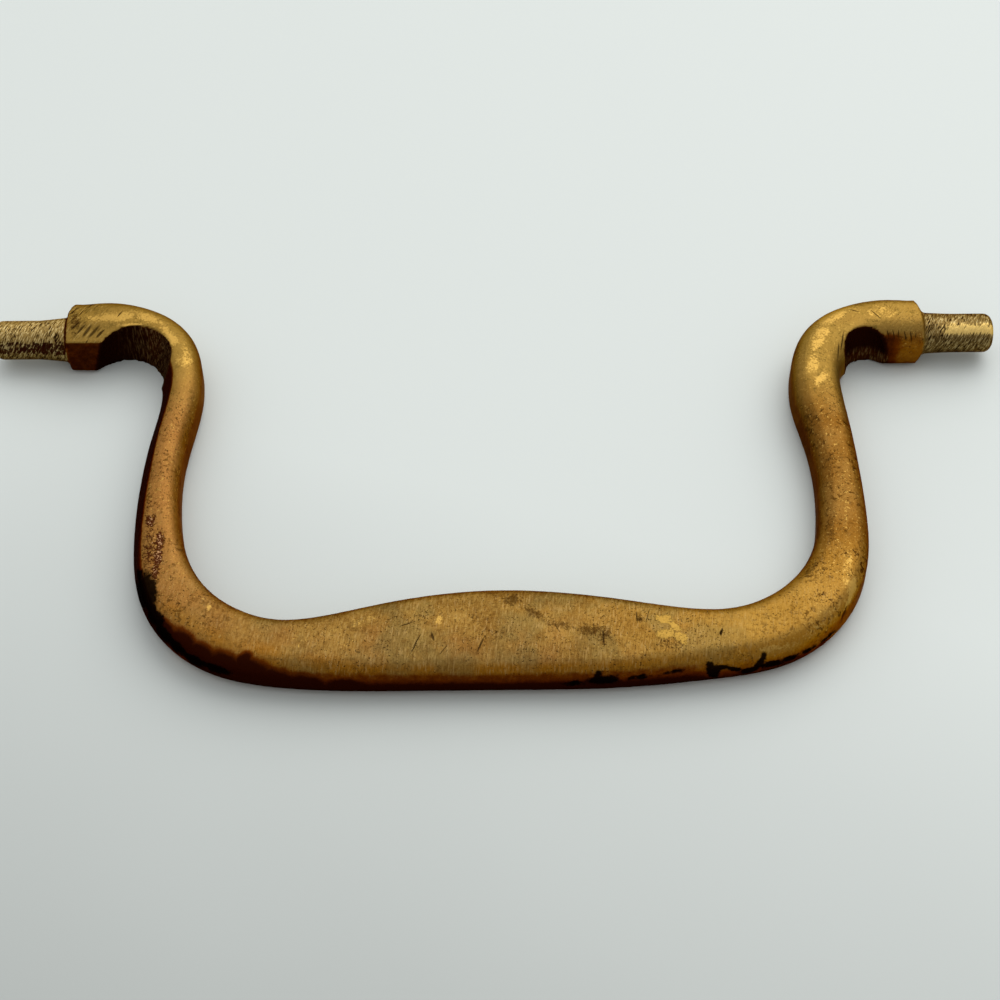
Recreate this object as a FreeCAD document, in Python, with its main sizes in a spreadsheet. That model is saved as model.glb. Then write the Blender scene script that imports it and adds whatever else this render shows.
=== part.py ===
import FreeCAD, Part
import math
import os

import Sketcher
from FreeCAD import Placement, Rotation, Vector

# Cast brass bail of a drawer pull: one casting, lying flat as it comes to rest on a table.
# +X runs along the two end pins, -Y is the side of the grip and +Z is up. The origin is the
# middle of the footprint. The sketches are drawn from the pins' axis and from the middle
# between the arms, and the body's placement moves them to the origin.

# Driving dimensions, in millimetres and degrees. The outer flank of the limb is the one on
# the grip's front edge, on the outside of the arms and on the notched side of the bends.
SIZES = {
    # arms: the spacing is between their centre lines, and they bow out past those
    "arm_spacing": 69.8,
    "left_arm_bow": 0.2,
    "right_arm_bow": 0.05,
    "left_arm_width": 4.35,
    "right_arm_width": 4.8,
    "arm_height": 4.9,
    # necks, where the arms lean in below the bends
    "left_neck_inset": 0.95,
    "right_neck_inset": 0.95,
    "left_neck_width": 4.45,
    "right_neck_width": 5.4,
    "neck_height": 5.3,
    "neck_length": 12.5,
    # bends that turn the arms outwards
    "bend_radius": 7.5,
    # barrels, the thick ends that carry the pins: reach is from the arm's centre line,
    # and set is how far the barrel's middle lies behind the pin's axis
    "left_barrel_reach": 11.9,
    "right_barrel_reach": 11.4,
    "left_barrel_depth": 6.55,
    "right_barrel_depth": 6.0,
    "left_barrel_set": 0.5,
    "right_barrel_set": 0.35,
    "barrel_height": 5.8,
    # the barrels' ends are turned to a cone round the pin: land is the flat ring left round
    # the pin's root, and the slope is measured from the end face
    "left_shoulder_land": 0.6,
    "right_shoulder_land": 0.15,
    "shoulder_slope": 32.0,
    # rounds along the top of the barrels' front edges
    "left_barrel_top_round": 0.6,
    "right_barrel_top_round": 2.7,
    # flat filed along the front of the left barrel, and the facet filed above it: the facet
    # meets the flat at this height, and tilts up from there
    "left_flat_depth": 0.25,
    "left_facet_height": 5.05,
    "left_facet_tilt": 17.0,
    # round notches filed down the inside of the bends
    "left_notch_radius": 3.9,
    "right_notch_radius": 2.35,
    "left_notch_inset": 5.75,
    "right_notch_inset": 5.45,
    "left_notch_set": 4.5,
    "right_notch_set": 3.75,
    "left_notch_lean": 15.5,
    "right_notch_lean": 6.5,
    # end pins
    "left_pin_length": 8.1,
    "right_pin_length": 7.7,
    "pin_height": 2.85,
    "pin_diameter": 4.25,
    "left_pin_root_diameter": 4.9,
    "right_pin_root_diameter": 4.55,
    "pin_root_length": 3.2,
    "pin_tip_round": 0.9,
    # lower corners, where the arms run into the grip: the fill is how much thicker their
    # inside is near the arms
    "corner_radius": 14.1,
    "corner_width": 6.5,
    "left_corner_fill": 0.7,
    "right_corner_fill": 0.4,
    "corner_height": 4.8,
    # grip: the drop is from the pins' axis to the front edge at the middle
    "drop": 44.65,
    "grip_width": 10.55,
    "grip_height": 4.6,
    "swell_spacing": 24.0,
    "left_swell_width": 8.9,
    "right_swell_width": 9.0,
    "left_swell_rise": 0.0,
    "right_swell_rise": 0.2,
    "left_waist_width": 6.6,
    "right_waist_width": 6.75,
    "left_waist_rise": 0.4,
    "right_waist_rise": 1.1,
    # section of the limb
    "crown_radius": 16.0,
    "inner_top_round": 1.9,
    "outer_top_round": 1.9,
    "back_round": 1.4,
    "outer_lean": 2.0,
    # the left arm's outer flank is filed to a slope, with a sharper edge
    "left_arm_lean": 25.0,
    "left_arm_edge_round": 0.8,
}

OVERCUT = 2.0  # how far a cut or an overlap runs past the face that it meets
BEND_TURNS = (30, 60, 90)  # where the bend has its sections, in degrees from the arm
CORNER_TURNS = (0, 22.5, 45, 67.5, 90)  # the same for the lower corner, from the grip
# how much of the filed slope the flank has at each of those sections, and at the neck
BEND_FILING = (0.8, 0.4, 0)
CORNER_FILING = (0, 0, 0, 0.4, 0.8)
NECK_FILING = 0.9
# how much of the corner's fill and of the arm's bow there is at each section of the corner
CORNER_FILLING = (0, 0, 0, 0.6, 1)
CORNER_BOWING = (0, 0, 0, 0, 1)

# sides of the bail: the sign of X there, and the word that names its sizes
HANDS = {-1: "left", 1: "right"}
LEFT, RIGHT = HANDS

# a sketch's numbers for its own axes, and for the points of a line or an arc
X_AXIS, Y_AXIS = range(-1, -3, -1)
START, END, CENTRE = range(1, 4)
ROOT = START  # where the two axes cross


def make_sheet(doc):
    """Puts each driving dimension in the sheet, with its name as the cell's alias."""
    sheet = doc.addObject("Spreadsheet::Sheet", "Sizes")
    for row, (name, value) in enumerate(SIZES.items(), start=1):
        sheet.set(f"A{row}", name)
        sheet.set(f"B{row}", str(value))
        sheet.setAlias(f"B{row}", name)
    doc.recompute()


def cell(name):
    return f"Sizes.{name}"


def mean(first, second):
    return f"(({first}) + ({second})) / 2"


def eased(start, finish, share):
    """Expression for the value that lies this share of the way from start to finish."""
    return f"({start}) + (({finish}) - ({start})) * {share}"


def shoulder_reach(hand):
    """Expression for the distance from the middle between the arms to a barrel's shoulder."""
    return f"({cell('arm_spacing')} / 2 + {cell(hand + '_barrel_reach')})"


def new_sketch(body, name, role):
    """Empty sketch on one of the body's own origin planes."""
    sketch = body.newObject("Sketcher::SketchObject", name)
    origin_plane = next(item for item in body.Origin.OriginFeatures if item.Role == role)
    sketch.AttachmentSupport = [(origin_plane, "")]
    sketch.MapMode = "FlatFace"
    return sketch


def constrain(sketch, kind, *arguments):
    return sketch.addConstraint(Sketcher.Constraint(kind, *arguments))


def dimension(sketch, name, expression, kind, *arguments):
    """Adds a driving dimension and ties it to the sheet."""
    index = constrain(sketch, kind, *arguments)
    sketch.renameConstraint(index, name)
    sketch.setExpression(f"Constraints.{name}", expression)


def arc(centre_u, centre_v, radius, start_deg, end_deg):
    circle = Part.Circle(Vector(centre_u, centre_v, 0), Vector(0, 0, 1), radius)
    return Part.ArcOfCircle(circle, math.radians(start_deg), math.radians(end_deg))


def loop_of_lines(corners):
    points = [Vector(u, v, 0) for u, v in corners]
    return [Part.LineSegment(here, there) for here, there in zip(points, points[1:] + points[:1])]


def limb_section(body, name, place, heading, size, flank):
    """Section of the limb: flat under, rounded at its four corners, with a low crown.

    place holds the expressions for the centre's X and Y, and heading is the way the limb
    runs there, in degrees from +X. size holds those for the width and the height. The inner
    flank is upright. flank holds the outer flank's lean towards the top, and its top round.
    """
    along, across = place
    width, height = size
    lean, outer_edge = flank
    sketch = new_sketch(body, name, "YZ_Plane")
    sketch.AttachmentOffset = Placement(Vector(0, 0, 0), Rotation(Vector(0, 1, 0), heading))
    sketch.setExpression("AttachmentOffset.Base.x", across)
    sketch.setExpression("AttachmentOffset.Base.z", along)

    # upright first outline, which the dimensions below then bring to size
    half, tall = SIZES["corner_width"] / 2, SIZES["corner_height"]
    top, back, crown = SIZES["inner_top_round"], SIZES["back_round"], SIZES["crown_radius"]
    crown_v = tall - crown
    flank_v = crown_v + math.sqrt((crown - top) ** 2 - (half - top) ** 2)
    tilt = math.degrees(math.atan2(flank_v - crown_v, half - top))
    sketch.addGeometry(
        [
            Part.LineSegment(Vector(back - half, 0, 0), Vector(half - back, 0, 0)),
            arc(half - back, back, back, -90, 0),
            Part.LineSegment(Vector(half, back, 0), Vector(half, flank_v, 0)),
            arc(half - top, flank_v, top, 0, tilt),
            arc(0, crown_v, crown, tilt, 180 - tilt),
            arc(top - half, flank_v, top, 180 - tilt, 180),
            Part.LineSegment(Vector(-half, flank_v, 0), Vector(-half, back, 0)),
            arc(back - half, back, back, 180, 270),
        ],
        False,
    )
    under, inner_back, inner_flank, inner_top, cap, outer_top, outer_flank, outer_back = range(8)
    for here in range(8):
        constrain(sketch, "Tangent", here, END, (here + 1) % 8, START)
    constrain(sketch, "PointOnObject", under, START, X_AXIS)
    constrain(sketch, "PointOnObject", under, END, X_AXIS)
    constrain(sketch, "Vertical", inner_flank)
    constrain(sketch, "PointOnObject", cap, CENTRE, Y_AXIS)
    constrain(sketch, "Equal", inner_back, outer_back)
    dimension(sketch, "back_round", cell("back_round"), "Radius", inner_back, back)
    dimension(sketch, "inner_top", cell("inner_top_round"), "Radius", inner_top, top)
    dimension(sketch, "outer_top", outer_edge, "Radius", outer_top, top)
    dimension(sketch, "crown", cell("crown_radius"), "Radius", cap, crown)
    half_width = f"({width}) / 2"
    dimension(sketch, "inner_half", half_width, "DistanceX", X_AXIS, ROOT, inner_flank, START, half)
    dimension(sketch, "outer_half", half_width, "DistanceX", outer_flank, END, X_AXIS, ROOT, half)
    crown_depth = f"{cell('crown_radius')} - ({height})"
    dimension(sketch, "crown_depth", crown_depth, "DistanceY", cap, CENTRE, X_AXIS, ROOT, -crown_v)
    dimension(sketch, "lean", f"-90 - ({lean})", "Angle", outer_flank, math.radians(-90))
    return sketch


def side_sections(body, side):
    """Sections of one half of the limb, from beside the grip's middle to the shoulder."""
    hand = HANDS[side]
    sign = "-" if side == LEFT else ""
    half_arms = f"{cell('arm_spacing')} / 2"
    corner, bend = cell("corner_radius"), cell("bend_radius")
    swell, waist = cell(f"{hand}_swell_width"), cell(f"{hand}_waist_width")
    arm, neck = cell(f"{hand}_arm_width"), cell(f"{hand}_neck_width")
    barrel = cell(f"{hand}_barrel_depth")
    swell_line = f"-{cell('drop')} + {cell(hand + '_swell_rise')} + {swell} / 2"
    waist_line = f"(-{cell('drop')} + {cell(hand + '_waist_rise')} + {waist} / 2)"
    neck_line = f"({half_arms} - {cell(hand + '_neck_inset')})"
    bow, fill = cell(f"{hand}_arm_bow"), cell(f"{hand}_corner_fill")
    barrel_line = cell(f"{hand}_barrel_set")
    grip_high, corner_high, arm_high = cell("grip_height"), cell("corner_height"), cell("arm_height")
    neck_high, barrel_high = cell("neck_height"), cell("barrel_height")

    plain = (cell("outer_lean"), cell("outer_top_round"))
    filed = (cell("left_arm_lean"), cell("left_arm_edge_round")) if side == LEFT else plain
    on_barrel = (cell("outer_lean"), cell(f"{hand}_barrel_top_round"))

    def filing(share, unfiled=plain):
        return tuple(eased(start, finish, share) for start, finish in zip(unfiled, filed))

    def section(label, along, across, heading, width, height, flank):
        return limb_section(
            body, f"{hand}_{label}", (f"{sign}({along})", across), side * heading, (width, height), flank
        )

    # width and height at each turn of the lower corner, from the grip to the arm
    corner_sizes = (
        (waist, grip_high),
        (mean(waist, cell("corner_width")), mean(grip_high, corner_high)),
        (cell("corner_width"), corner_high),
        (mean(cell("corner_width"), arm), mean(corner_high, arm_high)),
        (arm, arm_high),
    )
    corners = []
    for number, (turn, (width, height)) in enumerate(zip(CORNER_TURNS, corner_sizes)):
        bowed, filled = f"{bow} * {CORNER_BOWING[number]}", f"{fill} * {CORNER_FILLING[number]}"
        # the limb's centre line moves inwards by half of what fills the corner
        along = f"{half_arms} + {bowed} - {corner} * (1 - sin({turn})) - {filled} / 2 * sin({turn})"
        across = f"{waist_line} + {corner} * (1 - cos({turn})) + {filled} / 2 * cos({turn})"
        shape = (f"{width} + {filled}", height, filing(CORNER_FILING[number]))
        corners.append(section(f"corner_{number + 1}", along, across, turn, *shape))
    bends = [
        section(
            f"bend_{number}",
            f"{neck_line} + {bend} * (1 - cos({turn}))",
            f"{barrel_line} - {bend} * (1 - sin({turn}))",
            90 - turn,
            eased(neck, barrel, f"{turn} / 90"),
            eased(neck_high, barrel_high, f"{turn} / 90"),
            filing(share, (plain[0], eased(plain[1], on_barrel[1], f"{turn} / 90"))),
        )
        for number, (turn, share) in enumerate(zip(BEND_TURNS, BEND_FILING), start=1)
    ]
    neck_foot = f"({barrel_line} - {bend})"
    arm_line = f"({half_arms} + {bow})"
    upper_arm = section(
        "upper_arm",
        mean(neck_line, arm_line), f"{neck_foot} - {cell('neck_length')} / 2", 90,
        mean(neck, arm), mean(neck_high, arm_high), filing(1),
    )
    shoulder = shoulder_reach(hand)
    barrel_middle = mean(shoulder, f"{neck_line} + {bend}")
    return [
        section("swell", f"{cell('swell_spacing')} / 2", swell_line, 0, swell, grip_high, plain),
        *corners,
        section("arm", arm_line, f"{neck_foot} - {cell('neck_length')}", 90, arm, arm_high, filing(1)),
        upper_arm,
        section("neck", neck_line, neck_foot, 90, neck, neck_high, filing(NECK_FILING)),
        *bends,
        section("barrel", barrel_middle, barrel_line, 0, barrel, barrel_high, on_barrel),
        section("shoulder", shoulder, barrel_line, 0, barrel, barrel_high, on_barrel),
    ]


def cast_limb(body):
    """Grip, arms, bends and barrels in one loft from the left shoulder to the right one."""
    middle = limb_section(
        body, "grip_middle",
        ("0 mm", f"-{cell('drop')} + {cell('grip_width')} / 2"), 0,
        (cell("grip_width"), cell("grip_height")),
        (cell("outer_lean"), cell("outer_top_round")),
    )
    sections = [*reversed(side_sections(body, LEFT)), middle, *side_sections(body, RIGHT)]
    limb = body.newObject("PartDesign::AdditiveLoft", "limb")
    limb.Profile = sections[0]
    limb.Sections = sections[1:]
    limb.Ruled = False
    limb.Closed = False


def left_flat_line():
    """Expression for the Y of the flat on the left barrel's front."""
    front = f"{cell('left_barrel_set')} - {cell('left_barrel_depth')} / 2"
    return f"({front} + {cell('left_flat_depth')})"


def cut_through(body, name, sketch):
    """Cuts a sketch's outline through the whole body, both ways from its plane."""
    cut = body.newObject("PartDesign::Pocket", name)
    cut.Profile = sketch
    cut.Type = "ThroughAll"
    cut.Midplane = True


def file_flat(body):
    """Upright flat filed along the front of the left barrel, from the shoulder to the notch."""
    sketch = new_sketch(body, "left_flat_outline", "XY_Plane")
    shoulder = SIZES["arm_spacing"] / 2 + SIZES["left_barrel_reach"]
    outer_x, notch_x = -shoulder - OVERCUT, OVERCUT - shoulder
    flat_y = SIZES["left_barrel_set"] - SIZES["left_barrel_depth"] / 2 + SIZES["left_flat_depth"]
    front_y = flat_y - OVERCUT
    sketch.addGeometry(
        loop_of_lines([(outer_x, front_y), (notch_x, front_y), (notch_x, flat_y), (outer_x, flat_y)]), False
    )
    for here, way in enumerate(("Horizontal", "Vertical", "Horizontal", "Vertical")):
        constrain(sketch, "Coincident", here, END, (here + 1) % 4, START)
        constrain(sketch, way, here)
    outer_side, _, flat, _ = range(4)
    flat_line = left_flat_line()
    notch_middle = f"-({cell('arm_spacing')} / 2 + {cell('left_notch_inset')})"
    places = {
        "outer_x": ("DistanceX", outer_side, f"-{shoulder_reach('left')} - {OVERCUT}", outer_x),
        "front_y": ("DistanceY", outer_side, f"{flat_line} - {OVERCUT}", front_y),
        "notch_x": ("DistanceX", flat, notch_middle, notch_x),
        "flat_y": ("DistanceY", flat, flat_line, flat_y),
    }
    for name, (kind, line, expression, value) in places.items():
        dimension(sketch, name, expression, kind, X_AXIS, ROOT, line, START, value)
    cut_through(body, "left_flat", sketch)


def file_facet(body):
    """Sloping facet filed on the left barrel above the flat, from the shoulder to the notch."""
    sketch = new_sketch(body, "left_facet_outline", "YZ_Plane")
    sketch.setExpression("AttachmentOffset.Base.z", f"-{shoulder_reach('left')} - {OVERCUT}")
    flat_y = SIZES["left_barrel_set"] - SIZES["left_barrel_depth"] / 2 + SIZES["left_flat_depth"]
    foot_z, tall = SIZES["left_facet_height"], SIZES["barrel_height"] + OVERCUT
    front_y = flat_y - OVERCUT
    slope = math.tan(math.radians(SIZES["left_facet_tilt"]))
    corners = [
        (front_y, foot_z - OVERCUT * slope),
        (flat_y + (tall - foot_z) / slope, tall),
        (front_y, tall),
    ]
    sketch.addGeometry(loop_of_lines(corners), False)
    facet, top, front = range(3)
    for here in range(3):
        constrain(sketch, "Coincident", here, END, (here + 1) % 3, START)
    constrain(sketch, "Horizontal", top)
    constrain(sketch, "Vertical", front)
    foot = f"{cell('left_facet_height')} - {OVERCUT} * tan({cell('left_facet_tilt')})"
    places = {
        "front_y": ("DistanceX", facet, f"{left_flat_line()} - {OVERCUT}", corners[facet][0]),
        "foot_z": ("DistanceY", facet, foot, corners[facet][1]),
        "top_z": ("DistanceY", front, f"{cell('barrel_height')} + {OVERCUT}", tall),
    }
    for name, (kind, line, expression, value) in places.items():
        dimension(sketch, name, expression, kind, X_AXIS, ROOT, line, START, value)
    dimension(sketch, "tilt", cell("left_facet_tilt"), "Angle", facet, math.radians(SIZES["left_facet_tilt"]))
    cut = body.newObject("PartDesign::Pocket", "left_facet")
    cut.Profile = sketch
    cut.Reversed = True
    cut.setExpression("Length", f"{cell('left_barrel_reach')} - {cell('left_notch_inset')} + {OVERCUT}")


def file_notch(body, side):
    """Round notch filed down the inside of a bend. Its foot lies further out than its top."""
    hand = HANDS[side]
    lean = -side * SIZES[f"{hand}_notch_lean"]
    sketch = new_sketch(body, f"{hand}_notch_outline", "XY_Plane")
    sketch.AttachmentOffset = Placement(Vector(0, 0, 0), Rotation(Vector(0, 1, 0), lean))
    sketch.setExpression("AttachmentOffset.Rotation.Angle", f"{-side} * {cell(hand + '_notch_lean')}")
    middle_x = f"{side} * ({cell('arm_spacing')} / 2 + {cell(hand + '_notch_inset')})"
    sketch.setExpression("AttachmentOffset.Base.x", middle_x)
    sketch.setExpression("AttachmentOffset.Base.y", f"-{cell(hand + '_notch_set')}")
    radius = SIZES[f"{hand}_notch_radius"]
    sketch.addGeometry(Part.Circle(Vector(0, 0, 0), Vector(0, 0, 1), radius), False)
    constrain(sketch, "Coincident", 0, CENTRE, X_AXIS, ROOT)
    dimension(sketch, "radius", cell(f"{hand}_notch_radius"), "Radius", 0, radius)
    cut_through(body, f"{hand}_notch", sketch)


def turn_shoulder(body, side):
    """Turns a slope round the end of a barrel, which takes its corners off."""
    hand = HANDS[side]
    sketch = new_sketch(body, f"{hand}_slope_outline", "XY_Plane")
    sketch.setExpression("AttachmentOffset.Base.z", cell("pin_height"))
    shoulder = SIZES["arm_spacing"] / 2 + SIZES[f"{hand}_barrel_reach"]
    clear_radius = SIZES[f"{hand}_barrel_depth"]
    land_radius = SIZES[f"{hand}_pin_root_diameter"] / 2 + SIZES[f"{hand}_shoulder_land"]
    run = (clear_radius - land_radius) * math.tan(math.radians(SIZES["shoulder_slope"]))
    corners = [
        (side * shoulder, land_radius),
        (side * (shoulder - run), clear_radius),
        (side * (shoulder + OVERCUT), clear_radius),
        (side * (shoulder + OVERCUT), land_radius),
    ]
    sketch.addGeometry(loop_of_lines(corners), False)
    slope, outer, end, _ = range(4)
    for here, way in enumerate((None, "Horizontal", "Vertical", "Horizontal")):
        constrain(sketch, "Coincident", here, END, (here + 1) % 4, START)
        if way:
            constrain(sketch, way, here)
    reach = shoulder_reach(hand)
    clear = cell(f"{hand}_barrel_depth")
    land = f"({cell(hand + '_pin_root_diameter')} / 2 + {cell(hand + '_shoulder_land')})"
    run_back = f"({clear} - {land}) * tan({cell('shoulder_slope')})"
    places = {
        "reach": ("DistanceX", slope, f"{side} * {reach}", corners[slope][0]),
        "land": ("DistanceY", slope, land, land_radius),
        "run": ("DistanceX", outer, f"{side} * ({reach} - {run_back})", corners[outer][0]),
        "clear": ("DistanceY", outer, clear, clear_radius),
        "beyond": ("DistanceX", end, f"{side} * ({reach} + {OVERCUT})", corners[end][0]),
    }
    for name, (kind, line, expression, value) in places.items():
        dimension(sketch, name, expression, kind, X_AXIS, ROOT, line, START, value)
    turned = body.newObject("PartDesign::Groove", f"{hand}_slope")
    turned.Profile = sketch
    turned.ReferenceAxis = (sketch, ["H_Axis"])


def turn_pin(body, side):
    """Pin on the end of a barrel: a short cone at its root, a round seat and an eased tip."""
    hand = HANDS[side]
    sketch = new_sketch(body, f"{hand}_pin_outline", "XY_Plane")
    sketch.setExpression("AttachmentOffset.Base.z", cell("pin_height"))
    shoulder = SIZES["arm_spacing"] / 2 + SIZES[f"{hand}_barrel_reach"]
    root, seat = SIZES[f"{hand}_pin_root_diameter"] / 2, SIZES["pin_diameter"] / 2
    tip, blend = SIZES["pin_tip_round"], SIZES["pin_root_length"]
    inside, end = shoulder - OVERCUT, shoulder + SIZES[f"{hand}_pin_length"]
    outline = loop_of_lines(
        [
            (side * inside, 0),
            (side * inside, root),
            (side * shoulder, root),
            (side * (shoulder + blend), seat),
            (side * (end - tip), seat),
            (side * end, seat - tip),
            (side * end, 0),
        ]
    )
    back, hidden, cone, straight, nose, face, axis = range(7)
    nose_turn = (0, 90) if side == RIGHT else (90, 180)
    outline[nose] = arc(side * (end - tip), seat - tip, tip, *nose_turn)
    nose_root, nose_tip = (END, START) if side == RIGHT else (START, END)
    sketch.addGeometry(outline, False)
    for here, there in ((back, hidden), (hidden, cone), (cone, straight), (face, axis), (axis, back)):
        constrain(sketch, "Coincident", here, END, there, START)
    constrain(sketch, "Tangent", straight, END, nose, nose_root)
    constrain(sketch, "Tangent", nose, nose_tip, face, START)
    constrain(sketch, "PointOnObject", axis, START, X_AXIS)
    constrain(sketch, "PointOnObject", axis, END, X_AXIS)
    for upright in (back, face):
        constrain(sketch, "Vertical", upright)
    for level in (hidden, straight):
        constrain(sketch, "Horizontal", level)
    reach = shoulder_reach(hand)
    places = {
        "inside": (back, START, f"{reach} - {OVERCUT}", inside),
        "root": (hidden, END, reach, shoulder),
        "blend": (cone, END, f"{reach} + {cell('pin_root_length')}", shoulder + blend),
        "tip": (face, END, f"{reach} + {cell(hand + '_pin_length')}", end),
    }
    for name, (line, point, expression, value) in places.items():
        dimension(
            sketch, name, f"{side} * ({expression})", "DistanceX", X_AXIS, ROOT, line, point, side * value
        )
    root_radius = f"{cell(hand + '_pin_root_diameter')} / 2"
    dimension(sketch, "root_radius", root_radius, "DistanceY", X_AXIS, ROOT, hidden, END, root)
    dimension(
        sketch, "seat_radius", f"{cell('pin_diameter')} / 2", "DistanceY", X_AXIS, ROOT, straight, START, seat
    )
    dimension(sketch, "tip_round", cell("pin_tip_round"), "Radius", nose, tip)
    pin = body.newObject("PartDesign::Revolution", f"{hand}_pin")
    pin.Profile = sketch
    pin.ReferenceAxis = (sketch, ["H_Axis"])


def centre_footprint(body):
    """Moves the body so that the middle of its footprint lies on the origin."""
    back = [f"{cell(hand + '_barrel_set')} + {cell(hand + '_barrel_depth')} / 2" for hand in HANDS.values()]
    left, right = (f"({shoulder_reach(hand)} + {cell(hand + '_pin_length')})" for hand in HANDS.values())
    body.setExpression("Placement.Base.x", f"({left} - {right}) / 2")
    body.setExpression("Placement.Base.y", f"({cell('drop')} - max({back[0]}; {back[1]})) / 2")


def check(doc, body):
    for item in doc.Objects:
        if "Invalid" in item.State or "Error" in item.State:
            raise RuntimeError(f"{item.Name} did not build: {item.State}")
        if item.TypeId == "Sketcher::SketchObject" and not item.FullyConstrained:
            raise RuntimeError(f"{item.Name} is not fully constrained")
    shape = body.Shape
    if shape.isNull() or not shape.isValid() or len(shape.Solids) != 1:
        raise RuntimeError("the bail is not one sound solid")


doc = FreeCAD.newDocument("bail_pull")
make_sheet(doc)
bail = doc.addObject("PartDesign::Body", "bail")
bail.Label = "bail"
cast_limb(bail)
file_flat(bail)
file_facet(bail)
for side in HANDS:
    file_notch(bail, side)
for side in HANDS:
    turn_shoulder(bail, side)
for side in HANDS:
    turn_pin(bail, side)
centre_footprint(bail)
doc.recompute()
check(doc, bail)

os.makedirs("parts", exist_ok=True)
bail.Shape.exportStep(f"parts/{bail.Label}.step")
print(f"{bail.Label}: {bail.Shape.Volume:.1f} mm3, {len(bail.Shape.Faces)} faces")
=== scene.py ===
import math

import bmesh
import bpy
import numpy as np
from mathutils import Euler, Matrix, Vector, kdtree, noise


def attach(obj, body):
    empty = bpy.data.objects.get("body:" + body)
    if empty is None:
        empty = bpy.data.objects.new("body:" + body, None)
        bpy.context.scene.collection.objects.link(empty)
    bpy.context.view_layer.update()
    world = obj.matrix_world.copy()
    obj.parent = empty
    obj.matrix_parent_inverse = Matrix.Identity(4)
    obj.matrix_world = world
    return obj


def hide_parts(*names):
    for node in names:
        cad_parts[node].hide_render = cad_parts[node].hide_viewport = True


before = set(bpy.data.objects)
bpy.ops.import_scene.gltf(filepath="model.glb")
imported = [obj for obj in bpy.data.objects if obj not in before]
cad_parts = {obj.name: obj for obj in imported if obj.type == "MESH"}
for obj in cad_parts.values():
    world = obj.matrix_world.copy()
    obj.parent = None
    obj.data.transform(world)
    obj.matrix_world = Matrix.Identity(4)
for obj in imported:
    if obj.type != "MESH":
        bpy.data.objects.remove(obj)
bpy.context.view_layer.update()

mm = 0.001


def linear(hexColor):
    # sRGB hex to the linear values that the shaders take
    channels = [int(hexColor[i:i + 2], 16) / 255 for i in (1, 3, 5)]
    return tuple(c / 12.92 if c <= 0.04045 else ((c + 0.055) / 1.055) ** 2.4 for c in channels) + (1.0,)


def softStep(value, low, high):
    # 0 below low, 1 above high and smooth between; a value with a minus sign falls instead
    t = np.clip((value - low) / (high - low), 0, 1)
    return t * t * (3 - 2 * t)


# camera: looks down on the bail from the grip's side
cameraView = {
    "place": (-0.93, -130.61, 166.96),   # mm
    "elevation": 51.976,                 # degrees above the table
    "turn": -0.6,                        # degrees about Z
    "lens": 73.08,                       # on a 36 mm sensor
}

camData = bpy.data.cameras.new("tableCamera")
camData.lens = cameraView["lens"]
camData.sensor_width = 36
camData.clip_start = 0.01
camData.clip_end = 20
camera = bpy.data.objects.new("tableCamera", camData)
tip = math.radians(90 - cameraView["elevation"])
camera.rotation_euler = Euler((tip, 0, math.radians(cameraView["turn"])))
camera.location = [c * mm for c in cameraView["place"]]
bpy.context.scene.collection.objects.link(camera)
bpy.context.scene.camera = camera
print("camera placed")

# the casting: the CAD solid with an even skin of small faces, which takes the relief and the marks
bail = {
    "cell": 0.21,           # mm, the size of one face of the refined surface
    "edgeKeep": 0.55,       # mm from a sharp edge in which the surface isn't smoothed
    "smoothTurns": 8,
    "sharpAngle": 28,       # degrees, from which an edge of the CAD solid counts as sharp
    "wave": 0.035,          # mm, slow hand-finished unevenness
    "pitDepth": 0.16,       # mm, coarse pits of the left pin
    "rippleDepth": 0.06,    # mm, file ripples in the notches
    "pinAxis": (20.44, 2.85),   # y and z
    "pinRadius": 2.125,
    "leftEnd": -46.35,      # where the barrels end and the pins begin
    "rightEnd": 46.75,
}

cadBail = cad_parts["bail"]
bm = bmesh.new()
bm.from_mesh(cadBail.data)
bmesh.ops.remove_doubles(bm, verts=bm.verts, dist=0.000002)
bmesh.ops.scale(bm, vec=(1 / mm,) * 3, verts=bm.verts)
sharpAngle = math.radians(bail["sharpAngle"])
sharpEdges = [e for e in bm.edges if len(e.link_faces) == 2 and e.calc_face_angle(0) > sharpAngle]
sharpPoints = []
for e in sharpEdges:
    a, b = e.verts[0].co, e.verts[1].co
    steps = max(1, int((b - a).length / 0.15))
    sharpPoints += [a.lerp(b, i / steps) for i in range(steps + 1)]
sharpTree = kdtree.KDTree(len(sharpPoints))
for i, p in enumerate(sharpPoints):
    sharpTree.insert(p, i)
sharpTree.balance()

mesh = bpy.data.meshes.new("castBail")
bm.to_mesh(mesh)
bm.free()
casting = bpy.data.objects.new("castBail", mesh)
bpy.context.scene.collection.objects.link(casting)
refine = casting.modifiers.new("refine", "REMESH")
refine.mode = "VOXEL"
refine.voxel_size = bail["cell"]
refine.adaptivity = 0
casting.data = bpy.data.meshes.new_from_object(casting.evaluated_get(bpy.context.evaluated_depsgraph_get()))
casting.modifiers.clear()
casting.data.name = "castBail"
print("casting refined:", len(casting.data.polygons), "faces")


def readPoints(me):
    co = np.zeros(len(me.vertices) * 3, np.float64)
    me.vertices.foreach_get("co", co)
    return co.reshape(-1, 3)


def readNormals(me):
    no = np.zeros(len(me.vertices) * 3, np.float32)
    me.vertex_normals.foreach_get("vector", no)
    return no.reshape(-1, 3).astype(float)


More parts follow.
